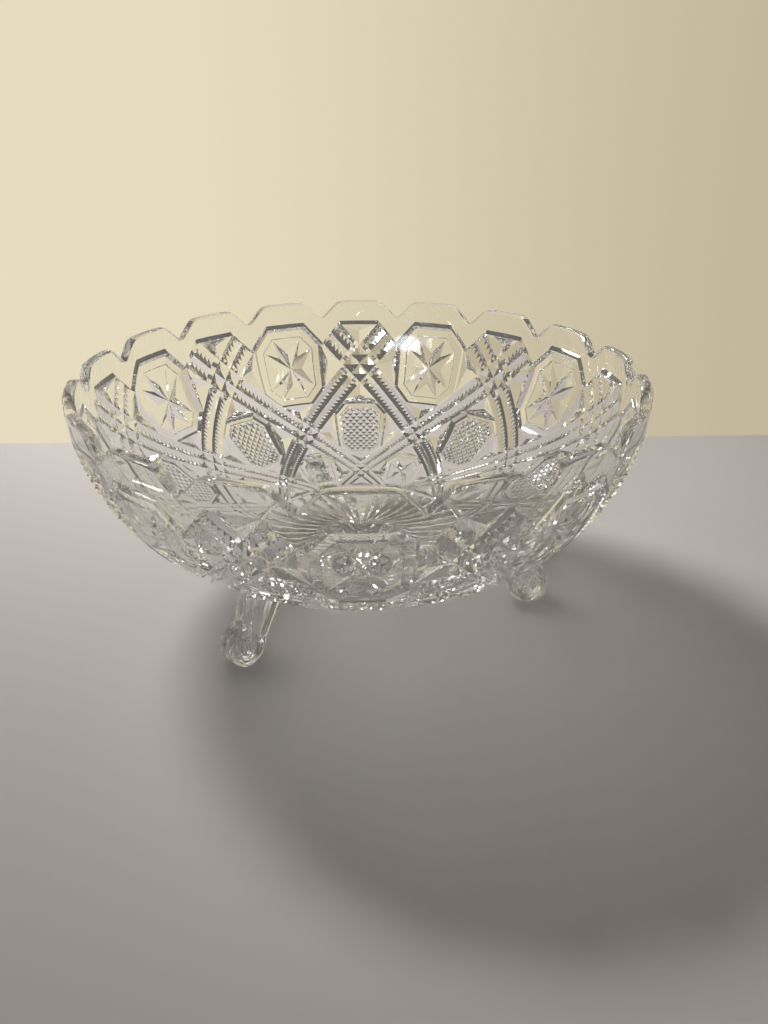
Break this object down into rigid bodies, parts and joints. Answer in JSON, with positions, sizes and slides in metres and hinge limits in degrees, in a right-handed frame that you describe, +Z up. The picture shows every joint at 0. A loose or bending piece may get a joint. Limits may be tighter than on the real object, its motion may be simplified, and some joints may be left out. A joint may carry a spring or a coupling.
{
  "type": "footed glass bowl",
  "caption": "Deep round pressed-glass bowl with a scalloped rim, standing on short scroll feet; holds fruit, salad or sweets.",
  "frame": {"origin": "on the table, under the bowl's axis", "axes": "+Z up along the bowl's axis; -Y towards the front, where a scallop and a star panel stand in the middle"},
  "size_m": [0.2142, 0.2148, 0.0952],
  "materials": {
    "pressed_glass": "clear fire-polished pressed glass, faintly straw-tinted where thick"
  },
  "bodies": {
    "root": {"bowl": "pressed_glass", "foot_left": "pressed_glass", "foot_right": "pressed_glass", "foot_back": "pressed_glass"}
  },
  "joints": []
}
